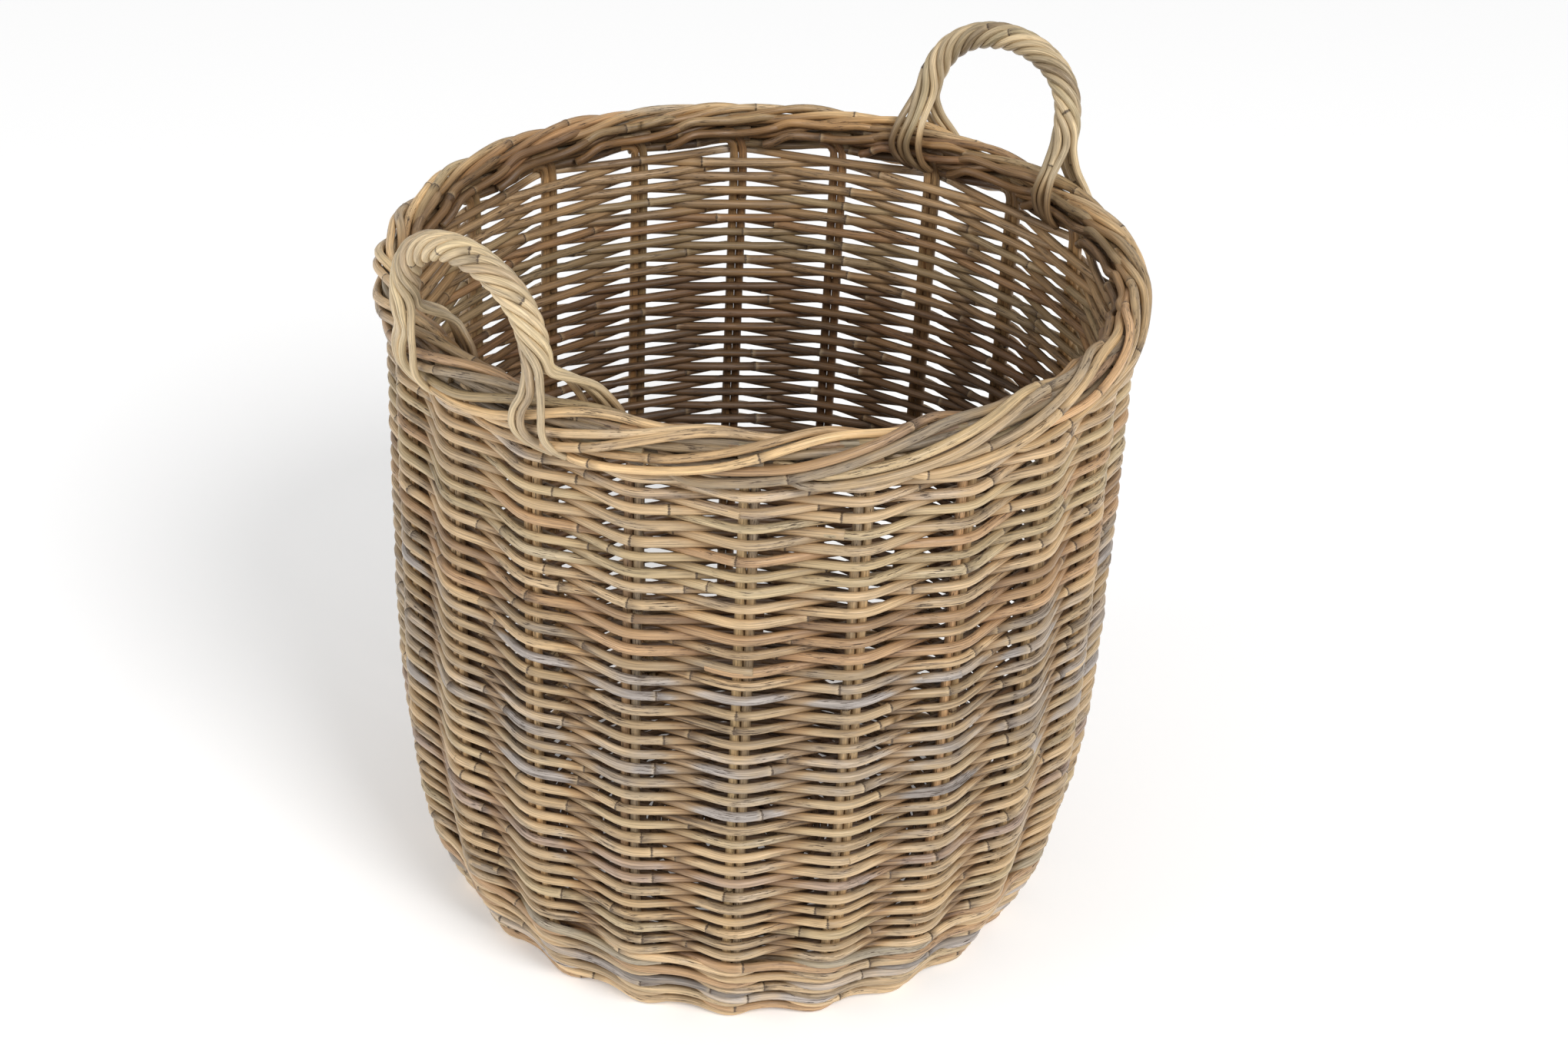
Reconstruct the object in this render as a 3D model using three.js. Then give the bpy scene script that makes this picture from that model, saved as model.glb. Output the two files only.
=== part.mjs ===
// Round wicker log basket: paired upright stakes woven into the side, rolled over into a rod
// border at the rim, a woven round base on crossed sticks, and two twisted cane handles lashed
// over the border. Millimetres, +Z up, origin on the floor at the middle of the base. The
// handles stand on the X axis.
import * as THREE from "three";

// Driving dimensions
const WALL_RADIUS = 234.6; // middle of the wall, where it has stopped flaring
const FOOT_INSET = 44.4; // how much smaller the wall is at the floor
const FLARE_HEIGHT = 64;
const FLARE_POWER = 1.15;
const ROW_PITCH = 5.5;
const BAND_ROWS = [4, 10, 16, 24, 24]; // woven rows in each band, from the floor up
const GAP = 0.3;

const STAKES = 21;
const FIRST_STAKE_ANGLE = THREE.MathUtils.degToRad(-140.7);
const STAKE_DRIFT = THREE.MathUtils.degToRad(2.2); // hand-made unevenness of the spacing
const STAKE_DRIFT_PHASE = THREE.MathUtils.degToRad(47);
const STAKE_CANE = 6.4; // one cane of a pair
const STAKE_FOOT_Z = 2;

const WEAVE_CANE = 5.7;
const CHANNEL = STAKE_CANE / 2 + 0.35; // half thickness of the room that the weave leaves a stake
const CHANNEL_HALF_WIDTH = STAKE_CANE + 0.5;
const CROSSING_START = 0.4; // the rods cross in the middle fifth of the way to the next stake
const CROSSING_HALF_THICKNESS = 5.4; // of the wall where the rods cross between stakes

const BORDER_RADIUS = 237; // middle of the rolled border
const BORDER_HALF_WIDTH = 9.8; // to the middle of its canes
const BORDER_SHOULDER_Z = 447;
const BORDER_RISE = 16.8; // from the shoulder to the middle of the top canes
const BORDER_FACE = 16; // straight part of the outer face
const BORDER_STEP = 14; // climb per stake, one pair of canes
const BORDER_START = 7;
const BORDER_STAKES = 4; // stakes that each pair passes before it ends inside

const HANDLE_CANES = 7;
const HANDLE_CANE = 4.6;
const ROPE_RADIUS = 6.8; // from the rope's middle to the middle of its canes
const ROPE_TURNS = 2.5;
const ROPE_STEPS = 26;
const FOOT_STEPS = 7;
const HANDLE_BASE_Z = 462;
const HANDLE_FORK_ANGLE = THREE.MathUtils.degToRad(5.4);
// Each handle's turn round the basket, half its span, its height over the base, how far out its
// feet are, how far its top leans out past them, and the height its core starts from. The left one
// stands further out, right over the outer edge of the border.
const RIGHT_HANDLE = { turn: 0, halfSpan: 61, rise: 83, foot: 229, bow: 22, coreEnd: 470 };
const LEFT_HANDLE = { turn: Math.PI, halfSpan: 57, rise: 83, foot: 245, bow: 6, coreEnd: 486 };
const OUTER_FOOT_SHIFT = -13; // each foot's canes slant apart along the rim
const INNER_FOOT_SHIFT = 15;
const FOOT_SPACING = 6.6;
const OUTER_FOOT_LEAN = 240; // a rope that stands further out than this starts its feet further out
const OUTER_FOOT_EASE = 0.4;
const CORE_RADIUS = 3.2;

const BASE_MIDDLE_Z = 10.5;
const BASE_STICKS = 8;
const BASE_STICK_WIDTH = 8;
const BASE_STICK_THICKNESS = 6;
const BASE_STICK_SPACING = 8.8;
const BASE_INNER_RADIUS = 40;
const BASE_OUTER_RADIUS = 182.4;
const BASE_HALF_THICKNESS = 5.6;
const BASE_EDGE_SLOPE = 0.44;

// Materials
const cane = (color, roughness) => new THREE.MeshStandardMaterial({ color, roughness, metalness: 0 });
const STAKE_MATERIAL = cane(0x8d6f4c, 0.62);
const WEAVE_MATERIAL = cane(0xa98e69, 0.66);
const FOOT_MATERIAL = cane(0x97795a, 0.7);
const HANDLE_MATERIAL = cane(0xc3a87c, 0.55);
const BASE_MATERIAL = cane(0x8a7052, 0.74);

// Wall and stakes
const bandEdges = BAND_ROWS.reduce((edges, rows) => [...edges, edges.at(-1) + rows * ROW_PITCH], [0]);
const WALL_TOP = bandEdges.at(-1);

function flaredRadius(z) {
  return WALL_RADIUS - FOOT_INSET * Math.exp(-((z / FLARE_HEIGHT) ** FLARE_POWER));
}

// The wall's middle is straight between band edges, so bands and stakes keep the same gap.
function wallRadius(z) {
  const upper = Math.max(1, bandEdges.findIndex((edge) => edge >= z));
  const [low, high] = [bandEdges[upper - 1], bandEdges[upper]];
  const share = (z - low) / (high - low);
  return THREE.MathUtils.lerp(flaredRadius(low), flaredRadius(high), share);
}

// Angle of a place counted in stakes: whole numbers are stakes, halves lie between them.
function stakeAngle(count) {
  const turn = (2 * Math.PI * count) / STAKES;
  return FIRST_STAKE_ANGLE + turn + STAKE_DRIFT * Math.cos(turn + STAKE_DRIFT_PHASE);
}

function polar(angle, radius, z) {
  return new THREE.Vector3(radius * Math.cos(angle), radius * Math.sin(angle), z);
}

function volumeOf(points, faces) {
  const cross = new THREE.Vector3();
  return faces.reduce((sum, [a, b, c]) => sum + cross.crossVectors(points[b], points[c]).dot(points[a]), 0);
}

// A closed body from its corner points and triangles, turned so that its faces point out.
function solid(points, faces) {
  const outward = volumeOf(points, faces) > 0;
  const geometry = new THREE.BufferGeometry().setFromPoints(points);
  geometry.setIndex(faces.flatMap(([a, b, c]) => (outward ? [a, b, c] : [a, c, b])));
  geometry.computeVertexNormals();
  return geometry;
}

function addQuad(faces, a, b, c, d) {
  faces.push([a, b, c], [a, c, d]);
}

// A closed body through a row of rings that all have the same number of points.
function loft(rings) {
  const sides = rings[0].length;
  const points = rings.flat();
  const faces = [];
  for (let ring = 0; ring + 1 < rings.length; ring++) {
    for (let side = 0; side < sides; side++) {
      const next = (side + 1) % sides;
      const [near, far] = [ring * sides, (ring + 1) * sides];
      addQuad(faces, near + side, near + next, far + next, far + side);
    }
  }
  const last = (rings.length - 1) * sides;
  for (let side = 1; side + 1 < sides; side++) {
    faces.push([0, side + 1, side], [last, last + side, last + side + 1]);
  }
  return solid(points, faces);
}

// A ring of weave that parts round every stake: four edges across its thickness (outer face,
// the two walls of the room left for the stake, inner face), the middle two meeting between
// stakes. place(angle, end, offset) puts an edge at the ring's first or last end.
function wovenRing(stations, place) {
  const points = [];
  const corner = stations.map((station) =>
    [0, 1].map((end) => station.offsets.map((offset) => points.push(place(station, end, offset)) - 1)),
  );
  const faces = [];
  stations.forEach((station, index) => {
    const next = (index + 1) % stations.length;
    const [[a0, b0, c0, d0], [a1, b1, c1, d1]] = corner[index];
    const [[e0, f0, g0, h0], [e1, f1, g1, h1]] = corner[next];
    const open = station.open || stations[next].open;
    addQuad(faces, a0, e0, e1, a1);
    addQuad(faces, h0, d0, d1, h1);
    addQuad(faces, a1, e1, f1, b1);
    addQuad(faces, c1, g1, h1, d1);
    addQuad(faces, e0, a0, b0, f0);
    addQuad(faces, g0, c0, d0, h0);
    if (open) {
      addQuad(faces, f0, b0, b1, f1);
      addQuad(faces, c0, g0, g1, c1);
    }
  });
  return solidMerged(points, faces);
}

// Where two edges of a ring lie on each other they become one, and empty triangles go.
function solidMerged(points, faces) {
  const seen = new Map();
  const index = points.map((point) => {
    const key = point.toArray().map((value) => value.toFixed(4)).join();
    if (!seen.has(key)) seen.set(key, seen.size);
    return seen.get(key);
  });
  const kept = [];
  index.forEach((target, source) => (kept[target] ??= points[source]));
  const merged = faces.map((face) => face.map((corner) => index[corner]));
  return solid(kept, merged.filter(([a, b, c]) => a !== b && b !== c && c !== a));
}

const STAKE_FACE = CHANNEL + WEAVE_CANE;
const OPEN_OFFSETS = [STAKE_FACE, CHANNEL, -CHANNEL, -STAKE_FACE];
const CLOSED_OFFSETS = [CROSSING_HALF_THICKNESS, 0, 0, -CROSSING_HALF_THICKNESS];

// Both edges of the room round each upright, and the two ends of the crossing after it.
function stationsAround(count, angleOf, halfWidth, open, closed) {
  const stations = [];
  for (let upright = 0; upright < count; upright++) {
    stations.push({ angle: angleOf(upright), along: -halfWidth, open: true, offsets: open });
    stations.push({ angle: angleOf(upright), along: halfWidth, open: true, offsets: open });
    stations.push({ angle: angleOf(upright + CROSSING_START), along: 0, open: false, offsets: closed });
    stations.push({ angle: angleOf(upright + 1 - CROSSING_START), along: 0, open: false, offsets: closed });
  }
  return stations;
}

function wallBand(low, high) {
  const ends = [low === 0 ? 0 : low + GAP / 2, high - GAP / 2];
  const stations = stationsAround(STAKES, stakeAngle, CHANNEL_HALF_WIDTH, OPEN_OFFSETS, CLOSED_OFFSETS);
  return wovenRing(stations, ({ angle, along }, end, offset) => {
    const z = ends[end];
    const radius = wallRadius(z);
    return polar(angle + along / radius, radius + offset, z);
  });
}

// Two canes side by side: six corners as [across the pair, through its thickness].
const HALF_CANE = STAKE_CANE / 2;
const PAIR_SECTION = [
  [STAKE_CANE, 0],
  [HALF_CANE, HALF_CANE],
  [-HALF_CANE, HALF_CANE],
  [-STAKE_CANE, 0],
  [-HALF_CANE, -HALF_CANE],
  [HALF_CANE, -HALF_CANE],
];

// Middle of the border's canes in the (radius, z) plane, from the foot of the outer face over
// the top and down inside, by distance along it.
class BorderSection extends THREE.Curve {
  getPoint(share, target = new THREE.Vector2()) {
    const arc = (Math.PI / 2) * (BORDER_HALF_WIDTH + BORDER_RISE);
    const distance = share * this.reach;
    const turn = THREE.MathUtils.clamp((distance - BORDER_FACE) / arc, 0, 1) * Math.PI;
    const below = Math.max(BORDER_FACE - distance, distance - BORDER_FACE - arc, 0);
    const z = BORDER_SHOULDER_Z + BORDER_RISE * Math.sin(turn) - below;
    return target.set(BORDER_RADIUS + BORDER_HALF_WIDTH * Math.cos(turn), z);
  }
  get reach() {
    return BORDER_START + BORDER_STEP * (BORDER_STAKES + 1);
  }
}

const borderSection = new BorderSection();

// A point on the border, given by distance over the roll and height above its middle surface.
function onBorder(angle, distance, height) {
  const share = distance / borderSection.getLength();
  const middle = borderSection.getPointAt(share);
  const tangent = borderSection.getTangentAt(share);
  return polar(angle, middle.x + tangent.y * height, middle.y - tangent.x * height);
}

function uprightRing(stake, z) {
  const radius = wallRadius(z);
  const angle = stakeAngle(stake);
  return PAIR_SECTION.map(([across, through]) => polar(angle + across / radius, radius + through, z));
}

// The pair half way round its bend from upright to lying along the border.
function bendRing(stake) {
  const radius = THREE.MathUtils.lerp(wallRadius(WALL_TOP), BORDER_RADIUS + BORDER_HALF_WIDTH, 0.5);
  const angle = stakeAngle(stake) + HALF_CANE / radius;
  const slope = Math.SQRT1_2;
  return PAIR_SECTION.map(([across, through]) =>
    polar(angle + (across * slope) / radius, radius + through, WALL_TOP + 8 - across * slope),
  );
}

function borderRing(stake, passed) {
  const distance = BORDER_START + BORDER_STEP * passed;
  return PAIR_SECTION.map(([across, through]) =>
    onBorder(stakeAngle(stake + passed), distance - across, through),
  );
}

function stakePair(stake) {
  const rings = [STAKE_FOOT_Z, ...bandEdges.slice(1)].map((z) => uprightRing(stake, z));
  rings.push(bendRing(stake), borderRing(stake, 0.16));
  for (let passed = 0.5; passed <= BORDER_STAKES; passed += 0.5) {
    rings.push(borderRing(stake, passed));
  }
  return loft(rings);
}

// Handles: one is built standing on +X, with its feet at +Y and -Y.
class HandleAxis extends THREE.Curve {
  constructor(shape) {
    super();
    this.shape = shape;
  }
  getPoint(share, target = new THREE.Vector3()) {
    const turn = THREE.MathUtils.lerp(HANDLE_FORK_ANGLE, Math.PI - HANDLE_FORK_ANGLE, share);
    const rise = Math.sin(turn) ** 0.46;
    const out = this.shape.foot + this.shape.bow * rise ** 1.5;
    const along = Math.sign(Math.cos(turn)) * Math.abs(Math.cos(turn)) ** 1.05;
    return target.set(out, this.shape.halfSpan * along, HANDLE_BASE_Z + this.shape.rise * rise);
  }
}

// The canes twist left-handed round the rope's middle.
function ropePoint(axis, index, share) {
  const middle = axis.getPointAt(share);
  const tangent = axis.getTangentAt(share);
  const out = new THREE.Vector3(1, 0, 0).projectOnPlane(tangent).normalize();
  const side = new THREE.Vector3().crossVectors(tangent, out);
  const twist = 2 * Math.PI * (index / HANDLE_CANES - ROPE_TURNS * share);
  middle.addScaledVector(out, ROPE_RADIUS * Math.cos(twist));
  return middle.addScaledVector(side, ROPE_RADIUS * Math.sin(twist));
}

// Routes of a cane below the fork as [radius, z], down the outside and the inside of the border.
const OUTER_FOOT = [
  [247, 474],
  [251, 462],
  [253.4, 448],
  [253.2, 436],
  [248.4, 424],
  [247.6, 416],
];
const INNER_FOOT = [
  [227, 474],
  [223, 462],
  [220.3, 448],
  [220.3, 436],
  [220.6, 424],
  [220.6, 416],
];

// A cane's run from the rope's end down over the border, spread beside the others of its group.
function footCurve(axis, index, share) {
  const start = ropePoint(axis, index, share);
  const middle = axis.getPointAt(share);
  const outside = start.x > middle.x;
  const peers = [...Array(HANDLE_CANES).keys()]
    .map((peer) => ropePoint(axis, peer, share))
    .filter((point) => point.x > middle.x === outside);
  const rank = peers.filter((point) => point.y < start.y - 0.01).length - (peers.length - 1) / 2;
  const shift = outside ? OUTER_FOOT_SHIFT : INNER_FOOT_SHIFT;
  const route = outside ? OUTER_FOOT : INNER_FOOT;
  const lean = outside ? Math.max(0, middle.x - OUTER_FOOT_LEAN) : 0;
  const points = route.map(([face, z], step) => {
    const radius = face + lean * OUTER_FOOT_EASE ** step;
    const y = middle.y + rank * FOOT_SPACING + shift * Math.min(1, (step + 1) / 4);
    return new THREE.Vector3(Math.sqrt(radius ** 2 - y ** 2), y, z);
  });
  return new THREE.CatmullRomCurve3([start, ...points]);
}

// A route straight from point to point, one step for each.
class SteppedRoute extends THREE.Curve {
  constructor(points) {
    super();
    this.points = points;
  }
  getPoint(share, target = new THREE.Vector3()) {
    const place = share * (this.points.length - 1);
    const index = Math.min(Math.floor(place), this.points.length - 2);
    return target.lerpVectors(this.points[index], this.points[index + 1], place - index);
  }
  getUtoTmapping(share) {
    return share;
  }
}

function rod(points, radius, sides) {
  const outline = [...Array(sides).keys()].map((side) => {
    const turn = (2 * Math.PI * side) / sides;
    return new THREE.Vector2(radius * Math.cos(turn), radius * Math.sin(turn));
  });
  const extrudePath = new SteppedRoute(points);
  const settings = { steps: points.length - 1, extrudePath, bevelEnabled: false };
  return new THREE.ExtrudeGeometry(new THREE.Shape(outline), settings);
}

// A whole cane: up from its first foot, round the rope, and down to its other foot.
function handleCane(axis, index) {
  const first = footCurve(axis, index, 0).getSpacedPoints(FOOT_STEPS).reverse();
  const last = footCurve(axis, index, 1).getSpacedPoints(FOOT_STEPS);
  const rope = [];
  for (let step = 1; step < ROPE_STEPS; step++) {
    rope.push(ropePoint(axis, index, step / ROPE_STEPS));
  }
  return rod([...first, ...rope, ...last], HANDLE_CANE / 2, 5);
}

function handleCore(axis) {
  const points = axis.getSpacedPoints(ROPE_STEPS / 2);
  const stand = (point) => point.clone().setZ(axis.shape.coreEnd);
  return rod([stand(points[0]), ...points, stand(points.at(-1))], CORE_RADIUS, 6);
}

// Base
function baseWeave() {
  const half = BASE_STICK_THICKNESS / 2 + 0.35;
  const beside = BASE_STICK_WIDTH / 2 + 0.45;
  const open = [BASE_HALF_THICKNESS, half, -half, -BASE_HALF_THICKNESS];
  const closed = [BASE_HALF_THICKNESS - 1, 0, 0, 1 - BASE_HALF_THICKNESS];
  const stations = stationsAround(2 * BASE_STICKS, spokeAngle, beside, open, closed);
  return wovenRing(stations, ({ angle, along }, end, offset) => {
    const radius = end ? BASE_OUTER_RADIUS + BASE_EDGE_SLOPE * offset : BASE_INNER_RADIUS;
    return polar(angle + Math.asin(along / radius), radius, BASE_MIDDLE_Z + offset);
  });
}

function spokeAngle(spoke) {
  return ((spoke + 0.5) * Math.PI) / BASE_STICKS;
}

// Four sticks lie one way and four cross over them, and all fan out into evenly spaced spokes.
function baseStick(stick) {
  const perLayer = BASE_STICKS / 2;
  const slot = (stick % perLayer) - (perLayer - 1) / 2;
  const across = slot * BASE_STICK_SPACING;
  const fan = (slot * Math.PI) / BASE_STICKS;
  const lift = (stick < perLayer ? -1 : 1) * (BASE_STICK_THICKNESS + GAP) * 0.5;
  const reach = (radius) => new THREE.Vector3(radius * Math.cos(fan), radius * Math.sin(fan), 0);
  const half = [new THREE.Vector3(20, across, lift), reach(BASE_INNER_RADIUS), reach(BASE_OUTER_RADIUS - 4)];
  const mirrored = half.map((point) => point.clone().setX(-point.x)).reverse();
  const route = [...mirrored, ...half];
  const rings = route.map((point) => {
    const towards = Math.abs(point.x) > 21 ? Math.sign(point.x) * fan : 0;
    const sideways = new THREE.Vector3(-Math.sin(towards), Math.cos(towards), 0);
    return stickRing(point, sideways.multiplyScalar(BASE_STICK_WIDTH / 2));
  });
  const geometry = loft(rings);
  geometry.rotateZ(stick < perLayer ? 0 : Math.PI / 2);
  return geometry.translate(0, 0, BASE_MIDDLE_Z);
}

function stickRing(middle, side) {
  const up = new THREE.Vector3(0, 0, BASE_STICK_THICKNESS / 2);
  return [
    middle.clone().add(side).add(up),
    middle.clone().sub(side).add(up),
    middle.clone().sub(side).sub(up),
    middle.clone().add(side).sub(up),
  ];
}

// Assembly
const basket = new THREE.Group();

function add(parent, name, geometry, material) {
  const mesh = new THREE.Mesh(geometry, material);
  mesh.name = name;
  parent.add(mesh);
}

const number = (index) => String(index + 1).padStart(2, "0");

for (let stick = 0; stick < BASE_STICKS; stick++) {
  add(basket, `base_stick_${number(stick)}`, baseStick(stick), BASE_MATERIAL);
}
add(basket, "base_weave", baseWeave(), BASE_MATERIAL);

const BAND_NAMES = BAND_ROWS.map((rows, band) => (band === 0 ? "foot_wale" : `side_weave_${number(band - 1)}`));
BAND_NAMES.forEach((name, band) => {
  const material = band === 0 ? FOOT_MATERIAL : WEAVE_MATERIAL;
  add(basket, name, wallBand(bandEdges[band], bandEdges[band + 1]), material);
});

for (let stake = 0; stake < STAKES; stake++) {
  add(basket, `stake_pair_${number(stake)}`, stakePair(stake), STAKE_MATERIAL);
}

for (const [side, shape] of [["right", RIGHT_HANDLE], ["left", LEFT_HANDLE]]) {
  const axis = new HandleAxis(shape);
  const handle = new THREE.Group();
  handle.rotation.z = shape.turn;
  for (let index = 0; index < HANDLE_CANES; index++) {
    add(handle, `${side}_handle_cane_${number(index)}`, handleCane(axis, index), HANDLE_MATERIAL);
  }
  add(handle, `${side}_handle_core`, handleCore(axis), HANDLE_MATERIAL);
  basket.add(handle);
}

export default basket;
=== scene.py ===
"""Looks for the wicker log basket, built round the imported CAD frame: every woven rod, stake, border
cane, handle cane and base stick. Lengths are in millimetres until a mesh is made."""

import math

import bpy
import numpy as np
from mathutils import Matrix, Vector


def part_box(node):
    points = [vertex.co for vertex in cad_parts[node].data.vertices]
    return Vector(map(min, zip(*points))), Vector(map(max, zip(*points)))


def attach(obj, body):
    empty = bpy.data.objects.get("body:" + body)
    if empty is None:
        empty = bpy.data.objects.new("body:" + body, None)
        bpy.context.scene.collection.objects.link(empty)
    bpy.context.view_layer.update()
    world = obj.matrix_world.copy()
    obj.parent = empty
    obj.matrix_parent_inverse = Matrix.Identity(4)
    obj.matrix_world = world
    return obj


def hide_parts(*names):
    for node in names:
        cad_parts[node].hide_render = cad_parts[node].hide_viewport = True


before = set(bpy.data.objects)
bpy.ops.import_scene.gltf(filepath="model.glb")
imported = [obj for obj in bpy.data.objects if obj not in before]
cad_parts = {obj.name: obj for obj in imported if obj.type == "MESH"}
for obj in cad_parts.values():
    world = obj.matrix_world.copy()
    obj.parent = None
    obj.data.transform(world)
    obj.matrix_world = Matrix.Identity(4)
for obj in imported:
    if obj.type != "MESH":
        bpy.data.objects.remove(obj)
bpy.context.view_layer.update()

MM = 0.001


def nodes_named(start):
    return sorted(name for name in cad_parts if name.startswith(start))


def box_mm(node):
    """A node's lowest and highest corners."""
    low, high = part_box(node)
    return np.array(low) / MM, np.array(high) / MM


# ---------------------------------------------------------------- driving dimensions, from the frame
BANDS = nodes_named("side_weave_")
STAKE_NODES = nodes_named("stake_pair_")
STAKES = len(STAKE_NODES)
FOOT_TOP = box_mm("foot_wale")[1][2]
WALL_TOP = box_mm(BANDS[-1])[1][2]
RIM_TOP = max(box_mm(name)[1][2] for name in STAKE_NODES)
RIM_RADIUS = max(box_mm(name)[1][1] for name in STAKE_NODES)
WALL_FACE = box_mm(BANDS[-1])[1][1]
HANDLE_TOP = box_mm("right_handle_core")[1][2]
BASE_LOW, BASE_HIGH = box_mm("base_weave")

STAKE_CANE = 6.4  # thickness
STAKE_FOOT = 2.5  # the height that a stake starts from
STAKE_STEP = 8.5  # between the points of its line
STAKE_BEND = 11  # how far above the wall it stays upright
WEAVE_CANE = 6.2
WALE_CANE = 6.4
STAND_OFF = STAKE_CANE / 2 + WEAVE_CANE / 2  # from the wall's middle to a rod passing a stake
WALL_RADIUS = WALL_FACE - 8.7  # to the middle of the wall, where it has stopped flaring
FOOT_INSET = 44.4  # how much smaller the wall is at the floor
FLARE_HEIGHT = 64
FLARE_POWER = 1.15
RIPPLE = 0.5  # how far the wall stands out at each stake and is pulled in between them
FOOT_RIPPLE = 2.3  # and how much further at the floor
RIPPLE_HEIGHT = 105

FIRST_STAKE_ANGLE = math.radians(-140.7)
STAKE_DRIFT = math.radians(2.2)  # hand-made unevenness of the spacing
STAKE_DRIFT_PHASE = math.radians(47)

ROW_PITCH = 5.5
BAND_OVERLAP = 0.4  # how far the last rod of a band runs on into the next band, in stakes
SEAM = 10  # the stake at the back where the rods of a round start and end
WALE_ROUNDS = 5
WALE_PITCH = 12.2

BORDER_CANE = 5.8
BORDER_RADIUS = RIM_RADIUS - 12  # to the middle of the roll
BORDER_HALF_WIDTH = 8.8  # from there to the middle of its canes
BORDER_SCALLOP = 1.3  # how much wider the border is where a tail comes up inside it
BORDER_NARROW = 0.1  # where it is narrowest, in stakes
BORDER_SHOULDER = RIM_TOP - 20  # where its straight faces end
BORDER_RISE = 16.8  # from the shoulder to the middle of the top canes
BORDER_FACE = 16  # straight part of the outer face
BORDER_STAKES = 4.2  # stakes that a pair passes before it ends
BORDER_PASSED = (0.35, 0.8, 1.3, 1.8, 2.4, 3.0, 3.6, 4.2)  # how far a pair has gone, in stakes
BORDER_CLIMB = (6.0, 8.0, 13.0, 21.0, 32.0, 41.5, 48.5, 53.5)  # its distance over the roll there
BORDER_HEIGHT = (-4.0, -2.0, 0.2, 2.0, 2.6, 1.2, -1.4, -3.6)  # and its height on the roll
PAIR_STEP = 0.08  # between the points of a line on the border, in stakes
PAIR_SHORTER = 0.35  # how much sooner a cane may end
PAIR_PARTING = 0.5  # how much further apart the canes of a pair end
PAIR_WINDING = 0.9  # how far they rise and fall over each other
TAIL_LIFT = 2.5  # how far a tail may stand up
BORDER_FILLERS = (14.0, 22.0, 30.0, 38.0, 46.0, 54.0, 61.0)  # distances over the roll
FILLER_DEPTH = 5.4  # how far the fillers lie under the roll's middle

HOOKS = 2  # tails for each stake
HOOK_REACH = (1.4, 0.16)  # how far a tail runs, in stakes, and how much less its fellow does
HOOK_START = (0.4, 0.12)  # where it comes up, in stakes past its own, and how much later its fellow
HOOK_INSIDE = (48, 6.4)  # its distance over the roll there, and how much less its fellow's is
HOOK_SWELL = 6.5  # how far over the inner edge it bulges
HOOK_EASE = 1.5  # how much of that it gives back
HOOK_DIVE = 8  # how far it then goes down inside
HOOK_BURIED = 4.6  # how deep it starts
HOOK_LIFT = 8.6  # and how far it comes up from there
HOOK_UNDER = 0.9  # how much lower its fellow lies

HANDLE_CANES = 7
HANDLE_CANE = 5.3
HANDLE_CORE_RADIUS = 4.6
CAD_CORE_RADIUS = 3.2  # of the core node, whose top gives the handle's height
ROPE_RADIUS = 6.9  # from the rope's middle to the middle of its canes
ROPE_TURNS = 2.5
ROPE_STRAIGHT = 0.05  # share of the rope at each foot that has hardly any twist
ROPE_STEPS = 90
HANDLE_BASE = 462
HANDLE_RISE = HANDLE_TOP - CAD_CORE_RADIUS - HANDLE_BASE
HANDLE_FORK_ANGLE = math.radians(5.4)
ARCH_RISE_POWER = 0.46  # the arch is squarer than an ellipse
ARCH_ACROSS_POWER = 1.05
ARCH_BOW_POWER = 1.5
# Each handle's side of the basket, its seeds, its half span, how far round it sits, how much it is
# stretched upwards, the distance out of its feet, how far its top leans out past them, and how far its
# outer and inner foot canes swing sideways at each step down.
HANDLES = {
    "right": {
        "turn": 1,
        "seed": 300,
        "core_seed": 341,
        "half_span": 61,
        "slide": 0,
        "stretch": 1.0,
        "foot": 229,
        "bow": 22,
        "outer": (-3, -9, -15, -18, -19, -20),
        "inner": (-1, 0, 1, -1, -5, -9),
    },
    "left": {
        "turn": -1,
        "seed": 350,
        "core_seed": 339,
        "half_span": 57,
        "slide": -5,
        "stretch": 1.05,
        "foot": 248,
        "bow": 7,
        "outer": (-4, -11, -13, -11, -4, 5),
        "inner": (4, 11, 17, 20, 21, 21),
    },
}
# How far out and how high the outer and inner foot canes are at each step down.
OUTER_FOOT = ((247, 475), (251, 464), (253.2, 454), (252.6, 446), (248.5, 439), (243.0, 434))
INNER_FOOT = ((228, 477), (223.5, 468), (221.5, 459), (221.8, 451), (223.8, 445), (229.0, 440))
FOOT_SPACING = (5.2, 5.3, 5.3, 5.2, 4.9, 4.4)
FOOT_STAGGER = 1.1  # every second foot cane rides this much higher
FOOT_THIN = 0.88  # a foot cane's thickness, to the rope's
FOOT_THICK_FROM = 470
FOOT_THICK_OVER = 25
STRAY_SHARE = 0.7  # the last cane of a foot runs this much straighter, so a gap opens beside it
LEAN_FROM = 240  # a rope that stands further out than this starts its feet further out
LEAN_EASE = 0.4  # the share of that which is left at each further step down

BASE_STICKS = 8
BASE_STICK_RADIUS = 3.4
BASE_STICK_SPACING = 8.8
BASE_LAYER = 3.1  # half the distance between the two layers of sticks where they cross
BASE_CROSSING = 20  # half the length of the crossing
BASE_SPREAD = (42, 90)  # distances out at which the sticks have fanned out and are level
BASE_ROD_RADIUS = 2.55
BASE_PITCH = 5.2
BASE_WAVE = 3.3  # how far a rod goes over and under the sticks
BASE_FIRST_RING = 24
BASE_TYING_ROUNDS = 3  # rounds that pass over and under all four sticks of a side at once


def flared_radius(z):
    """Radius of the middle of the wall at a height."""
    height = np.maximum(z, 0) / FLARE_HEIGHT
    return WALL_RADIUS - FOOT_INSET * np.exp(-(height**FLARE_POWER))


def ripple(z):
    """How far the wall stands out at a stake, and is pulled in between two."""
    return RIPPLE + FOOT_RIPPLE * np.exp(-((np.maximum(z, 0) / RIPPLE_HEIGHT) ** 2))


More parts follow.
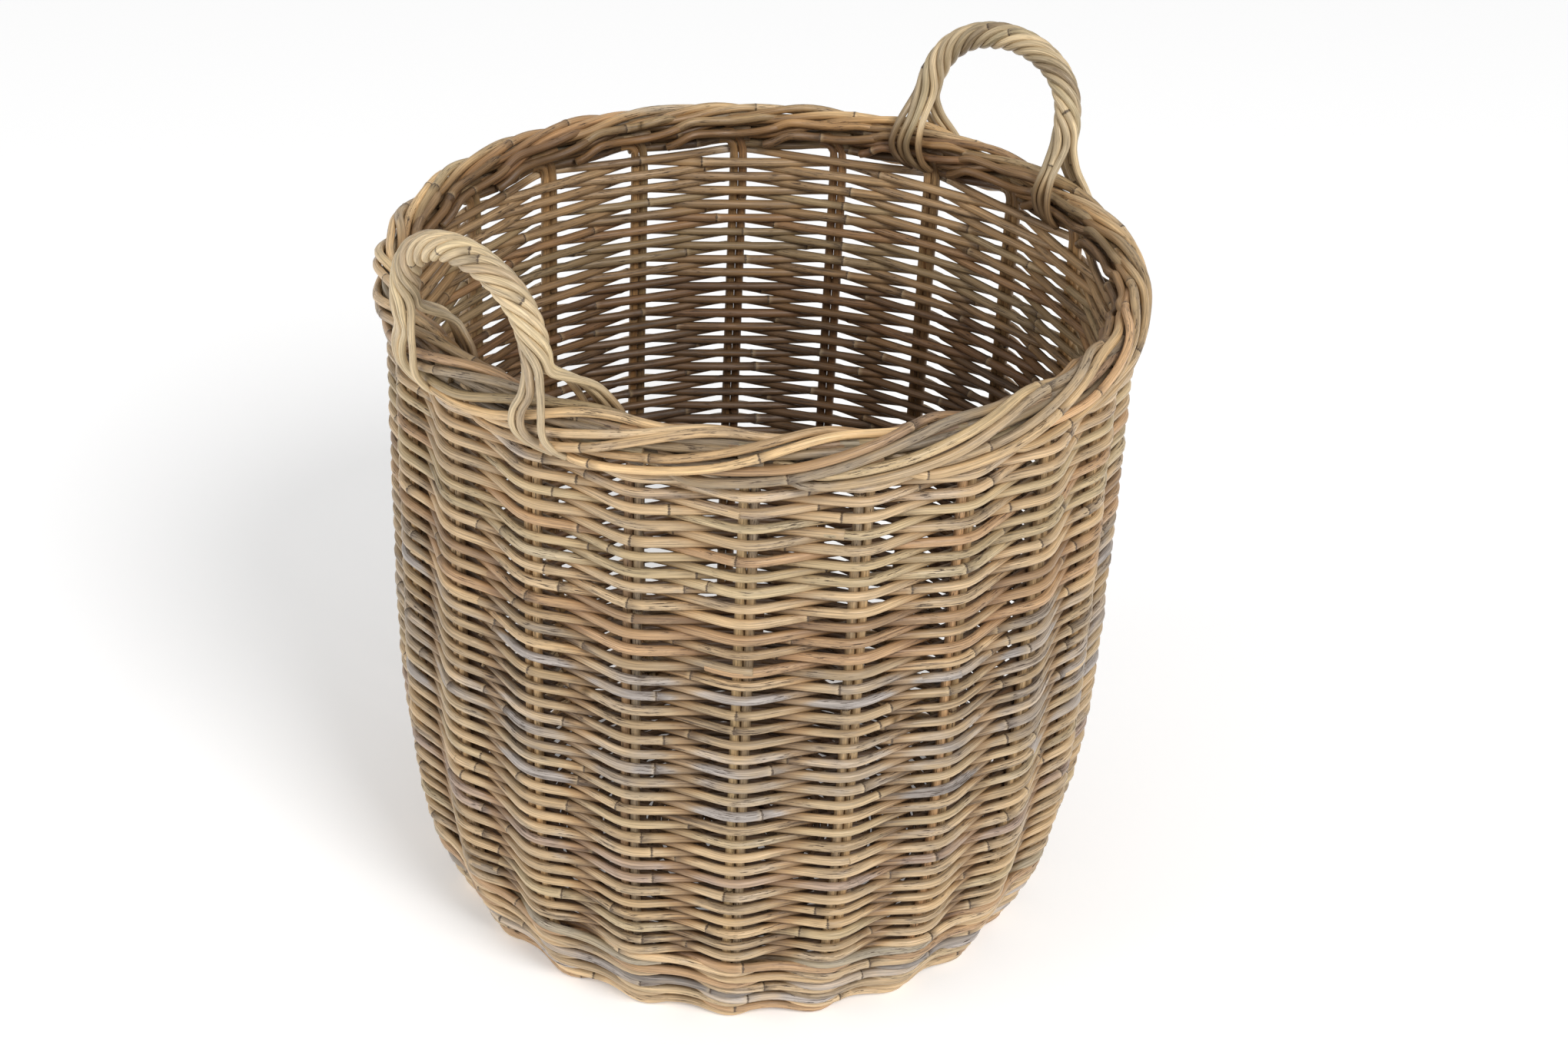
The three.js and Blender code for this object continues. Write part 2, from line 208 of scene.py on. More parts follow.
def stake_angle(count):
    """Angle of a place counted in stakes: whole numbers are stakes."""
    turn = 2 * np.pi * np.asarray(count, float) / STAKES
    return FIRST_STAKE_ANGLE + turn + STAKE_DRIFT * np.cos(turn + STAKE_DRIFT_PHASE)


def polar(angle, radius, z):
    angle, radius, z = np.broadcast_arrays(angle, radius, z)
    return np.stack([radius * np.cos(angle), radius * np.sin(angle), z], -1)


def smooth(x):
    """0 below 0 and 1 above 1, with no corners."""
    x = np.clip(x, 0, 1)
    return x * x * (3 - 2 * x)


# ---------------------------------------------------------------- canes
FOOT_SEED = 11
BAND_SEED = 20
STAKE_SEED = 100
BASE_STICK_SEED = 400
BASE_WEAVE_SEED = 450
ROD_SIDES = 8
STAKE_SIDES = 10
HANDLE_SIDES = 12
NODE_GAP = (90, 260)  # between the joints of a cane
FIRST_NODE = 12  # the nearest that a joint comes to a cane's start
LAST_NODE = 6  # and to its end
JOINT_FAR = 12.0  # the distance from a joint at which its marks have faded
NODE_REACH = (-JOINT_FAR, -3.0, -1.2, 0.0, 1.2, 3.0, JOINT_FAR)  # where rings are put round a joint
NODE_CLEAR = 3.8  # nearer than this to it, no others are kept
NODE_SWELL = 0.11
NODE_SWELL_LENGTH = 1.9
# The inside mark holds how strongly painted shade darkens the inside of the basket.
MARKS = ("joint", "past_joint", "cut", "inside")
END_ROUND = 0.7
END_SHARE = 0.8  # a cut end's thickness, to the cane's
# Painted shade inside the basket: how strongly it darkens a cane, by depth into the wall, by height, and
# on the border's inner side.
INDOOR_EDGE = 7  # the depth over which a cane of the wall goes from outside to inside
INDOOR_TOP = 51  # above the wall, where the inside ends
INDOOR_FADE = 28
INDOOR_LEAST = 0.38
INDOOR_LOW = 0.62  # added far below the top of the wall
INDOOR_LOW_BELOW = 170
INDOOR_BORDER = 0.5  # painted shade added in the border
INDOOR_BORDER_OVER = 10
GRAIN_APART = 40  # how far apart two canes' places in the grain may be


def catmull(points, per_span):
    """A smooth line through points."""
    p = np.asarray(points, float)
    p = np.vstack([2 * p[0] - p[1], p, 2 * p[-1] - p[-2]])
    t = np.linspace(0, 1, per_span, endpoint=False)[:, None]
    spans = []
    for a, b, c, d in zip(p[:-3], p[1:-2], p[2:-1], p[3:]):
        square = 2 * a - 5 * b + 4 * c - d
        cube = 3 * b - a - 3 * c + d
        spans.append(0.5 * (2 * b + (c - a) * t + square * t**2 + cube * t**3))
    return np.vstack(spans + [p[-2:-1]])


def indoors(points):
    """Strength of the painted shade: 0 for a point outside the basket, and more inside it, most of all low
    down.
    """
    depth = flared_radius(points[:, 2]) - np.hypot(points[:, 0], points[:, 1])
    below = WALL_TOP - points[:, 2]
    inside = smooth(depth / INDOOR_EDGE + 0.5) * smooth((below + INDOOR_TOP) / INDOOR_FADE)
    low_down = INDOOR_LOW * smooth(below / INDOOR_LOW_BELOW)
    inside *= INDOOR_LEAST + low_down + INDOOR_BORDER * smooth(-below / INDOOR_BORDER_OVER)
    return inside


class Piece:
    """Canes gathered into one mesh. Each carries its own grain coordinates, tone and joints."""

    def __init__(self, seed):
        self.random = np.random.default_rng(seed)
        self.points, self.faces, self.grain, self.tone, self.marks = [], [], [], [], []
        self.count = 0

    def cane(self, line, radius, reference, sides, tone, joints=True, taper=0.0):
        """Adds one cane along a line, turned so that its seam lies away from reference."""
        line = np.asarray(line, float)
        steps = np.linalg.norm(np.diff(line, axis=0), axis=1)
        along = np.concatenate([[0], np.cumsum(steps)])
        length = along[-1]
        stops = along
        swell_at = []
        if joints:
            stop = self.random.uniform(FIRST_NODE, NODE_GAP[1])
            while stop < length - LAST_NODE:
                swell_at.append(stop)
                stop += self.random.uniform(*NODE_GAP)
        for stop in swell_at:
            stops = np.concatenate([stops[np.abs(stops - stop) > NODE_CLEAR], stop + np.array(NODE_REACH)])
        stops = np.unique(np.clip(np.concatenate([stops, [0, length]]), 0, length))
        centre = np.stack([np.interp(stops, along, line[:, k]) for k in range(3)], -1)
        reference = np.asarray(reference, float)
        if reference.ndim == 2:
            reference = np.stack([np.interp(stops, along, reference[:, k]) for k in range(3)], -1)
        swell = np.zeros(len(stops))
        ring = np.full(len(stops), JOINT_FAR)
        past = np.zeros(len(stops))
        for stop in swell_at:
            distance = stops - stop
            bump = NODE_SWELL * np.exp(-((distance / NODE_SWELL_LENGTH) ** 2))
            swell += bump * self.random.uniform(0.4, 1.4)
            nearest = np.abs(distance) < ring
            ring = np.where(nearest, np.abs(distance), ring)
            past = np.where(nearest, distance > 0, past)
        marks = np.column_stack([ring, past])
        if np.ndim(radius):
            radius = np.interp(stops, along, radius)
        radii = radius * (1 + swell) * (1 - taper * stops / length)
        self._tube(centre, radii, reference, stops, marks, sides, tone)

    def _tube(self, centre, radii, reference, stops, marks, sides, tone):
        """Adds the closed tube of one cane, with a ring of points at each stop along it."""
        tangent = np.gradient(centre, axis=0)
        tangent /= np.linalg.norm(tangent, axis=1, keepdims=True)
        reference = np.broadcast_to(reference, tangent.shape)
        side = np.cross(tangent, reference)
        side /= np.linalg.norm(side, axis=1, keepdims=True)
        up = np.cross(side, tangent)
        first, last = centre[0] - tangent[0] * END_ROUND, centre[-1] + tangent[-1] * END_ROUND
        centre = np.vstack([first, centre, last])
        radii = np.concatenate([[radii[0] * END_SHARE], radii, [radii[-1] * END_SHARE]])
        up = np.vstack([up[:1], up, up[-1:]])
        side = np.vstack([side[:1], side, side[-1:]])
        stops = np.concatenate([[stops[0]], stops, [stops[-1]]])
        marks = np.vstack([marks[:1], marks, marks[-1:]])
        cut = np.zeros(len(stops))
        cut[[0, -1]] = 1
        angle = 2 * np.pi * np.arange(sides) / sides + np.pi / sides
        cosine, sine = np.cos(angle), np.sin(angle)
        circle = cosine[None, :, None] * up[:, None] + sine[None, :, None] * side[:, None]
        points = centre[:, None] + radii[:, None, None] * circle
        rings = len(centre)
        offset = self.random.uniform(0, GRAIN_APART, 3)
        grain = np.empty((rings, sides, 3))
        grain[..., 0] = radii[:, None] * cosine[None]
        grain[..., 1] = radii[:, None] * sine[None]
        grain[..., 2] = stops[:, None]
        end_grain = np.array([[0, 0, stops[0]], [0, 0, stops[-1]]])
        self.grain.append(np.vstack([grain.reshape(-1, 3), end_grain]) * MM + offset)
        corners = np.vstack([points.reshape(-1, 3), centre[0], centre[-1]])
        self.points.append(corners * MM)
        marks = np.column_stack([marks, cut])
        marks = np.vstack([np.repeat(marks, sides, 0), marks[[0, -1]]])
        self.marks.append(np.column_stack([marks, indoors(corners)]))
        self.tone.append(np.tile([*tone, self.random.random()], (len(corners), 1)))
        self._faces(rings, sides)

    def _faces(self, rings, sides):
        """Joins the rings of points, and closes each end round its middle point."""
        corner = self.count + np.arange(rings - 1)[:, None] * sides
        near = np.arange(sides)[None]
        far = (near + 1) % sides
        after = corner + sides
        quads = np.stack([corner + near, corner + far, after + far, after + near], -1)
        self.faces += quads.reshape(-1, 4)[:, ::-1].tolist()
        tip = self.count + rings * sides
        last_ring = self.count + (rings - 1) * sides
        for k in range(sides):
            following = (k + 1) % sides
            self.faces.append([tip, self.count + k, self.count + following])
            self.faces.append([tip + 1, last_ring + following, last_ring + k])
        self.count += rings * sides + 2

    def build(self, name, material, nodes):
        """Makes the mesh, which stands for the given CAD nodes."""
        mesh = bpy.data.meshes.new(name)
        points = np.vstack(self.points)
        mesh.from_pydata(points.tolist(), [], self.faces)
        mesh.polygons.foreach_set("use_smooth", np.ones(len(mesh.polygons), bool))
        write_attribute(mesh, "grain", "FLOAT_VECTOR", "vector", np.vstack(self.grain))
        write_attribute(mesh, "tone", "FLOAT_VECTOR", "vector", np.vstack(self.tone))
        marks = np.vstack(self.marks)
        for column, mark in enumerate(MARKS):
            write_attribute(mesh, mark, "FLOAT", "value", marks[:, column])
        mesh.materials.append(material)
        mesh.update()
        piece = bpy.data.objects.new(name, mesh)
        bpy.context.scene.collection.objects.link(piece)
        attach(piece, "root")
        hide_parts(*nodes)


def write_attribute(mesh, name, kind, field, values):
    attribute = mesh.attributes.new(name, kind, "POINT")
    attribute.data.foreach_set(field, np.ascontiguousarray(values, np.float32).ravel())


def radial(line):
    """Outward directions along a line."""
    flat = np.array(line, float)
    flat[:, 2] = 0
    return flat / np.linalg.norm(flat, axis=1, keepdims=True)


# ---------------------------------------------------------------- materials
def linear(red, green, blue):
    """An sRGB colour as linear RGBA."""
    values = [c / 255 for c in (red, green, blue)]
    values = [c / 12.92 if c <= 0.04045 else ((c + 0.055) / 1.055) ** 2.4 for c in values]
    return (*values, 1.0)


class Shader:
    """A few lines of node wiring for one material."""

    def __init__(self, name):
        self.material = bpy.data.materials.new(name)
        self.material.use_nodes = True
        self.tree = self.material.node_tree
        self.surface = self.tree.nodes["Principled BSDF"]

    def node(self, kind, **settings):
        made = self.tree.nodes.new(kind)
        for key, value in settings.items():
            setattr(made, key, value)
        return made

    def link(self, source, target):
        self.tree.links.new(source, target)

    def put(self, socket, value):
        """Links a socket to another, or sets its value."""
        if isinstance(value, bpy.types.NodeSocket):
            self.link(value, socket)
        else:
            socket.default_value = value

    def attribute(self, name, output="Fac"):
        return self.node("ShaderNodeAttribute", attribute_name=name).outputs[output]

    def noise(self, vector, stretch, detail=3.0, roughness=0.55):
        scaled = self.node("ShaderNodeVectorMath", operation="MULTIPLY")
        self.link(vector, scaled.inputs[0])
        scaled.inputs[1].default_value = stretch
        made = self.node("ShaderNodeTexNoise")
        self.link(scaled.outputs[0], made.inputs["Vector"])
        made.inputs["Scale"].default_value = 1.0
        made.inputs["Detail"].default_value = detail
        made.inputs["Roughness"].default_value = roughness
        return made.outputs["Fac"]

    def math(self, operation, a, b=0.0, clamp=False):
        made = self.node("ShaderNodeMath", operation=operation, use_clamp=clamp)
        self.put(made.inputs[0], a)
        self.put(made.inputs[1], b)
        return made.outputs[0]

    def span(self, value, low, high, to_low=0.0, to_high=1.0):
        """Carries a value from low to high over to another span, and no further."""
        made = self.node("ShaderNodeMapRange")
        for socket, number in zip(made.inputs[1:5], (low, high, to_low, to_high)):
            socket.default_value = number
        self.link(value, made.inputs[0])
        return made.outputs[0]

    def mix(self, share, a, b, blend="MIX"):
        made = self.node("ShaderNodeMix", data_type="RGBA", blend_type=blend)
        self.put(made.inputs[0], share)
        self.put(made.inputs[6], a)
        self.put(made.inputs[7], b)
        return made.outputs[2]


INDOOR_TINT = (0.97, 0.88, 0.76, 1.0)  # the inside of the basket is tinted warmer
PAINTED_INSIDE_SHADE = (0.31, 0.25, 0.21, 1.0)  # and painted darker, most of all low down: painted shade
DARK = linear(66, 48, 33)
GOLD = linear(212, 180, 136)
BUFF = linear(198, 172, 136)
GREY = linear(182, 172, 164)
RUST = linear(192, 142, 98)
PALE = linear(188, 171, 132)
COLLAR = linear(222, 196, 154)
PITH = linear(196, 168, 126)

# Waves to a metre across and along a cane.
FIBRE_GRAIN = (1700, 1700, 30)
STREAK_GRAIN = (480, 480, 9)
PATCH_GRAIN = (60, 60, 19)
FLECK_GRAIN = (1250, 1250, 105)
PITH_GRAIN = (2600, 2600, 2600)
BUMP_DEPTH = 0.0008  # metres


class CaneShader(Shader):
    """Peeled and weathered cane: fibres along it, stains, flecks, dark joints and pale cut ends."""

    def __init__(self, name):
        super().__init__(name)
        self.grain = self.attribute("grain", "Vector")
        tone = self.node("ShaderNodeSeparateXYZ")
        self.link(self.attribute("tone", "Vector"), tone.inputs[0])
        self.age, self.light, self.odd = tone.outputs
        self.fibre = self.noise(self.grain, FIBRE_GRAIN, 4.0, 0.62)
        self.streak = self.noise(self.grain, STREAK_GRAIN, 3.0)
        self.patch = self.noise(self.grain, PATCH_GRAIN, 3.0, 0.6)
        self.fleck = self.noise(self.grain, FLECK_GRAIN, 4.0, 0.64)
        self.inside = self.attribute("inside")

    def times(self, *values):
        """Values multiplied together."""
        product = values[0]
        for value in values[1:]:
            product = self.math("MULTIPLY", product, value)
        return product

    def weathered(self, gold, buff, grey):
        """From gold over buff to grey with age, and less grey inside the basket."""
        aged = self.math("ADD", self.age, self.span(self.patch, 0.32, 0.68, -0.3, 0.3), clamp=True)
        indoors = self.span(self.inside, 0.05, 0.35)
        young = self.mix(self.span(aged, 0.0, 0.5), gold, buff)
        greyed = self.times(self.span(aged, 0.5, 1.0), self.span(indoors, 0.0, 1.0, 1.0, 0.25))
        colour = self.mix(greyed, young, grey)
        # The painted shade's mask also tints the inside warmer.
        return self.mix(indoors, colour, self.mix(1.0, colour, INDOOR_TINT, "MULTIPLY"))

    def shaded(self, colour):
        """Fibre lines, each cane's own lightness, and painted shade that darkens the inside."""
        lines = self.span(self.fibre, 0.35, 0.65, 0.55, 1.2)
        tint = self.times(lines, self.span(self.light, 0.0, 1.0, 0.62, 1.31))
        shade = self.node("ShaderNodeCombineColor")
        for socket in shade.inputs:
            self.link(tint, socket)
        colour = self.mix(1.0, colour, shade.outputs[0], "MULTIPLY")
        # Painted shade: the inside of the basket is darkened, weighted by the inside mark.
        return self.mix(self.inside, colour, self.mix(1.0, colour, PAINTED_INSIDE_SHADE, "MULTIPLY"))

    def jointed(self, colour):
        """A ragged dark line at each joint, a smudge past it and a pale collar before it."""
        ragged = self.math("ADD", self.attribute("joint"), self.span(self.fleck, 0.3, 0.7, -0.7, 0.7))
        line = self.span(ragged, 0.3, 1.0, 0.92, 0.0)
        past = self.attribute("past_joint")
        near = self.span(ragged, 0.8, 9.0, 1.0, 0.0)
        uneven = self.span(self.patch, 0.38, 0.56, 0.2, 1.0)
        smudge = self.times(near, self.span(past, 0.3, 0.8), self.span(self.fibre, 0.42, 0.58), uneven)
        collar = self.times(self.span(ragged, 1.0, 4.0, 0.25, 0.0), self.span(past, 0.3, 0.5, 1.0, 0.0))
        colour = self.mix(collar, colour, COLLAR)
        return self.mix(self.math("MAXIMUM", line, smudge), colour, DARK), line

    def relief(self, flecked, line):
        """Fibres and streaks stand up, flecks and joint lines are sunk."""
        height = self.math("ADD", self.times(self.fibre, 0.6), self.times(self.streak, 0.4))
        height = self.math("SUBTRACT", height, self.times(flecked, 0.35))
        height = self.math("SUBTRACT", height, self.times(line, 0.5))
        bump = self.node("ShaderNodeBump")
        bump.inputs["Strength"].default_value = 0.6
        bump.inputs["Distance"].default_value = BUMP_DEPTH
        self.link(height, bump.inputs["Height"])
        self.link(bump.outputs[0], self.surface.inputs["Normal"])


def cane_material(name, gold, buff, grey, stain=0.5, shine=0.44, flecks=1.0, rust=0.45):
    s = CaneShader(name)
    colour = s.weathered(gold, buff, grey)
    stained = s.times(s.span(s.streak, 0.5, 0.68), s.span(s.patch, 0.4, 0.62, 0.2, 1.0))
    colour = s.mix(s.times(stained, stain), colour, DARK)
    colour = s.mix(s.span(s.odd, 0.82, 0.88, 0.0, rust), colour, RUST)
    colour = s.mix(s.span(s.odd, 0.1, 0.2, 0.5, 0.0), colour, PALE)
    colour = s.shaded(colour)
    flecked = s.times(s.span(s.fleck, 0.565, 0.62), s.span(s.patch, 0.47, 0.58, 0.1, 0.95 * flecks))
    colour, line = s.jointed(s.mix(flecked, colour, DARK))
    pith = s.mix(s.span(s.noise(s.grain, PITH_GRAIN), 0.4, 0.62), PITH, DARK)
    colour = s.mix(s.span(s.attribute("cut"), 0.2, 0.9), colour, pith)
    s.link(colour, s.surface.inputs["Base Color"])
    polished = s.span(s.fibre, 0.3, 0.7, shine + 0.14, shine - 0.1)
    rough = s.math("ADD", polished, s.times(stained, 0.14))
    rough = s.math("ADD", rough, s.times(flecked, 0.2))
    s.link(rough, s.surface.inputs["Roughness"])
    s.surface.inputs["Specular IOR Level"].default_value = 0.5
    s.surface.inputs["Coat Weight"].default_value = 0.14
    s.surface.inputs["Coat Roughness"].default_value = 0.32
    s.relief(flecked, line)
    return s.material


WEAVE = cane_material("weave_cane", GOLD, BUFF, GREY, stain=0.72)
# The foot canes are lighter than the weave: partly their own colour, partly painted light standing in for
# light bounced up from the floor.
FOOT_PAINTED_BOUNCE = cane_material("foot_cane", linear(222, 190, 146), linear(208, 182, 146), GREY, stain=0.55)
STAKE = cane_material("stake_cane", linear(218, 182, 132), linear(202, 172, 130), linear(176, 158, 134))
HANDLE = cane_material(
    "handle_cane",
    linear(214, 190, 150),
    linear(204, 182, 146),
    linear(184, 170, 146),
    stain=0.35,
    shine=0.4,
    flecks=0.4,
    rust=0.15,
)
BASE = cane_material(
    "base_cane", linear(232, 204, 160), linear(218, 190, 150), linear(198, 182, 158), shine=0.62
)


LIGHT_SPREAD = 0.25
BUNDLE_SHARE = 0.5  # how alike the rods of one bundle are
BUNDLE_CHANGE = 0.3  # the chance that the next rod comes from a new bundle
BUNDLE_SPREAD = 0.5
ROD_SPREAD = 0.42


def random_tone(random, age=0.42, spread=0.32, light=0.55):
    """A cane's age, from gold to grey, and its lightness."""
    age = random.normal(age, spread)
    light = random.normal(light, LIGHT_SPREAD)
    return tuple(float(np.clip(value, 0, 1)) for value in (age, light))


def bundle_tone(random, bundle):
    """The tone of a cane that is like the others of its bundle."""
    own = random_tone(random, spread=ROD_SPREAD)
    return tuple(BUNDLE_SHARE * ours + (1 - BUNDLE_SHARE) * its for ours, its in zip(bundle, own))


# ---------------------------------------------------------------- woven wall
ROD_STEPS = 12  # along a rod between two stakes
BEND_HALF = 0.075  # half the width over which a rod lies flat on a stake, in stakes
ROD_LENGTH = (20, 52)  # in stakes
SHORTEST_ROD = 9
ROD_TUCK = (0.25, 0.5)  # how far before the end of the last rod the next one starts
ROD_THICKNESS = (0.86, 1.1)
ROD_TAPER = (-0.06, 0.1)
WALE_THICKNESS = (0.92, 1.04)
# How far a rod wanders, and over how many stakes.
ROD_RISES = (0.35, 2.3)
ROD_SWERVES = (0.3, 1.4)
WALE_RISES = (0.25, 3)
WALE_SWERVES = (0.3, 2)


def wavy(random, count, swing, step):
    """A slow random wander with one value for each place, and a knot every few steps."""
    knots = random.normal(0, swing, int(count / step) + 3)
    return np.interp(np.arange(count) / step, np.arange(len(knots)), knots)


def rod_wander(random, count, wander):
    swing, stakes = wander
    return wavy(random, len(count), swing, ROD_STEPS * stakes)


def woven_line(count, offset, z, wander):
    """A rod that lies on each stake at offset(stake) and runs straight on to the next."""
    stake = np.floor(count)
    share = count - stake
    radius = flared_radius(z) + wander
    lies_on = np.clip(share, BEND_HALF, 1 - BEND_HALF)
    along = (lies_on - BEND_HALF) / (1 - 2 * BEND_HALF)
    start = polar(stake_angle(stake + BEND_HALF), radius + offset(stake) + ripple(z), z)
    end = polar(stake_angle(stake + 1 - BEND_HALF), radius + offset(stake + 1) + ripple(z), z)
    straight = start + (end - start) * along[:, None]
    on_stake = polar(stake_angle(count), radius + offset(np.round(count)) + ripple(z), z)
    pulled = straight - radial(straight) * (2 * ripple(z) * np.sin(np.pi * share) ** 2)[:, None]
    resting = np.abs(count - np.round(count)) < BEND_HALF
    return smooth_line(np.where(resting[:, None], on_stake, pulled), 2)


def smooth_line(line, times=3):
    """Rounds the corners of a line."""
    for _ in range(times):
        line = np.vstack([line[:1], (line[:-2] + 2 * line[1:-1] + line[2:]) / 4, line[-1:]])
    return line


def over_and_under(stake):
    """The side of each stake that a single rod passes."""
    return np.where(np.mod(stake, 2) < 0.5, STAND_OFF, -STAND_OFF)


def side_band(piece, low, high):
    """Rows of single rods between two counts of stakes, each rod starting just before the last ends."""
    random = piece.random
    bundle = random_tone(random, spread=BUNDLE_SPREAD)
    place = low
    end = low
    while end < high:
        end = place + random.uniform(*ROD_LENGTH)
        if high - end < SHORTEST_ROD:
            end = high
        count = np.arange(place, end + 1e-6, 1 / ROD_STEPS)
        z = FIRST_ROW + ROW_PITCH * count / STAKES + rod_wander(random, count, ROD_RISES)
        line = woven_line(SEAM + count, over_and_under, z, rod_wander(random, count, ROD_SWERVES))
        radius = WEAVE_CANE / 2 * random.uniform(*ROD_THICKNESS)
        if random.random() < BUNDLE_CHANGE:
            bundle = random_tone(random, spread=BUNDLE_SPREAD)
        tone = bundle_tone(random, bundle)
        piece.cane(line, radius, radial(line), ROD_SIDES, tone, taper=random.uniform(*ROD_TAPER))
        place = end - random.uniform(*ROD_TUCK)


WALE_FOOT = WALE_CANE + 0.3  # heights of the first and last rounds of waling
WALE_LAST = WALE_FOOT + WALE_PITCH * (WALE_ROUNDS - 1)
WALE_FLOOR = WALE_CANE / 2 + 0.2  # the lowest that a strand goes
WALE_DROP = (0.48, -0.48, 0, 0.48)  # a strand's height at each stake of its three, in canes
WALE_BEFORE = 0.45  # how far before its stake a strand starts, in stakes
WALE_AROUND = STAKES + 0.55
FIRST_ROW = WALE_LAST + WALE_CANE / 2 + WEAVE_CANE / 2 + 2.2
LAST_ROW = WALL_TOP + 7.5  # the last rods lie up under the border


def row_count(z):
    """How many stakes the spiral of single rods has passed at a height."""
    return (z - FIRST_ROW) / ROW_PITCH * STAKES


def wale_round(piece, level, shift):
    """Three rods worked together: each passes in front of two stakes and behind one."""
    random = piece.random
    stand = STAKE_CANE / 2 + WALE_CANE / 2
    for strand in range(3):

        def offset(stake, strand=strand):
            return np.where(np.mod(stake - strand - shift, 3) < 1.5, stand, -stand)

        # A strand starts and ends at the first stake from the seam on that it passes behind.
        start = SEAM + (2 - (SEAM - strand - shift)) % 3 - WALE_BEFORE
        count = np.arange(start, start + WALE_AROUND, 1 / ROD_STEPS)
        phase = np.mod(count - strand - shift, 3)
        drop = np.interp(phase, (0, 1, 2, 3), WALE_DROP)
        climb = ROW_PITCH * (count - SEAM) / STAKES * (level - WALE_FOOT) / (WALE_LAST - WALE_FOOT)
        z = level + climb + drop * WALE_CANE + rod_wander(random, count, WALE_RISES)
        z = np.maximum(z, WALE_FLOOR)
        line = woven_line(count, offset, z, rod_wander(random, count, WALE_SWERVES))
        radius = WALE_CANE / 2 * random.uniform(*WALE_THICKNESS)
        # The waling's lighter tone is painted light, standing in for light bounced up from the floor.
        piece.cane(line, radius, radial(line), ROD_SIDES, random_tone(random, 0.34, 0.3, 0.7))


def build_wall():
    foot = Piece(FOOT_SEED)
    rounds = [(WALE_FOOT + WALE_PITCH * index, index) for index in range(WALE_ROUNDS)]
    for level, shift in rounds:
        if level < FOOT_TOP:
            wale_round(foot, level, shift)
    foot.build("foot_wale_rods", FOOT_PAINTED_BOUNCE, ["foot_wale"])
    lows = [box_mm(node)[0][2] for node in BANDS]
    edges = [0] + [round(row_count(low)) for low in lows[1:] + [LAST_ROW]]
    for index, node in enumerate(BANDS):
        high = box_mm(node)[1][2]
        piece = Piece(BAND_SEED + index)
        for level, shift in rounds:
            if lows[index] <= level < high and level >= FOOT_TOP:
                wale_round(piece, level, shift)
        overlap = BAND_OVERLAP if index + 1 < len(BANDS) else 0
        side_band(piece, edges[index], edges[index + 1] + overlap)
        piece.build(f"{node}_rods", WEAVE, [node])


# ---------------------------------------------------------------- stakes and border
def border_middle(count, distance):
    """(radius, z) and outward normal of the border's cane layer, by distance over the roll."""
    distance = np.asarray(distance, float)
    scallop = BORDER_SCALLOP * np.cos(2 * np.pi * (np.asarray(count, float) - BORDER_NARROW))
    half_width = BORDER_HALF_WIDTH - scallop
    arc = np.pi / 2 * (BORDER_HALF_WIDTH + BORDER_RISE)
    turn = np.clip((distance - BORDER_FACE) / arc, 0, 1) * np.pi
    below = np.maximum(np.maximum(BORDER_FACE - distance, distance - BORDER_FACE - arc), 0)
    radius = BORDER_RADIUS + scallop + half_width * np.cos(turn)
    z = BORDER_SHOULDER + BORDER_RISE * np.sin(turn) - below
    out = np.stack([np.cos(turn) * BORDER_RISE, np.sin(turn) * BORDER_HALF_WIDTH], -1)
    out /= np.linalg.norm(out, axis=-1, keepdims=True)
    return radius, z, out


def on_border(count, distance, height):
    """A point on the border, given by distance over the roll and height above its middle surface."""
    radius, z, out = border_middle(count, distance)
    return polar(stake_angle(count), radius + out[..., 0] * height, z + out[..., 1] * height)


def stake_line(stake, hand, random):
    """One cane of a pair: up the wall, behind the pair next to it, and round the border."""
    heights = np.arange(STAKE_FOOT, WALL_TOP + STAKE_BEND, STAKE_STEP)
    radius = flared_radius(heights) + ripple(heights)
    lean = hand * STAKE_CANE / 2
    upright = polar(stake_angle(stake) + lean / radius, radius, heights)
    passed = np.arange(0.5 - hand * 0.04, BORDER_STAKES - random.uniform(0, PAIR_SHORTER), PAIR_STEP)
    share = (passed - passed[0]) / (passed[-1] - passed[0])
    # The two canes of a pair lie side by side, wind a little round each other and part at their tails.
    across = -hand * BORDER_CANE / 2 * (1.06 + 0.16 * np.sin(share * 9 + stake))
    across = across * (1.04 + PAIR_PARTING * smooth((share - 0.75) / 0.2))
    distance = np.interp(passed, BORDER_PASSED, BORDER_CLIMB) + across
    distance += wavy(random, len(passed), 0.7, 10)
    height = np.interp(passed, BORDER_PASSED, BORDER_HEIGHT) + wavy(random, len(passed), 0.8, 9)
    height += hand * PAIR_WINDING * np.sin(share * 7 + stake)
    height += random.uniform(0, TAIL_LIFT) * smooth((share - 0.8) / 0.2)
    rolled = on_border(stake + passed, distance, height)
    bend_angle = stake_angle(stake + 0.12) + lean * 0.5 / BORDER_RADIUS
    bend = polar(bend_angle, WALL_RADIUS + 1.5, WALL_TOP + 17 - lean)
    knee = catmull([upright[-2], upright[-1], bend, rolled[0], rolled[2]], 7)[7:-7]
    return smooth_line(np.vstack([upright[:-1], knee, rolled[1:]]), 4)


def hook_line(stake, fellow, random):
    """A tail that comes from under the one before, swells along the inner edge and dives inside."""
    reach, less = HOOK_REACH
    start, later = HOOK_START
    inside, nearer = HOOK_INSIDE
    passed = np.arange(0, reach - less * fellow, 0.05)
    share = passed / passed[-1]
    bulge = HOOK_SWELL * smooth(share / 0.5) - HOOK_EASE * smooth((share - 0.5) / 0.35)
    dive = HOOK_DIVE * smooth((share - 0.82) / 0.18)
    distance = inside - nearer * fellow + bulge + dive * (1 - 0.4 * fellow)
    height = HOOK_LIFT * smooth(share / 0.26) - HOOK_BURIED - dive * 0.35
    height += wavy(random, len(passed), 0.3, 6)
    count = stake + start + later * fellow + passed
    return smooth_line(on_border(count, distance, height - HOOK_UNDER * fellow), 2)


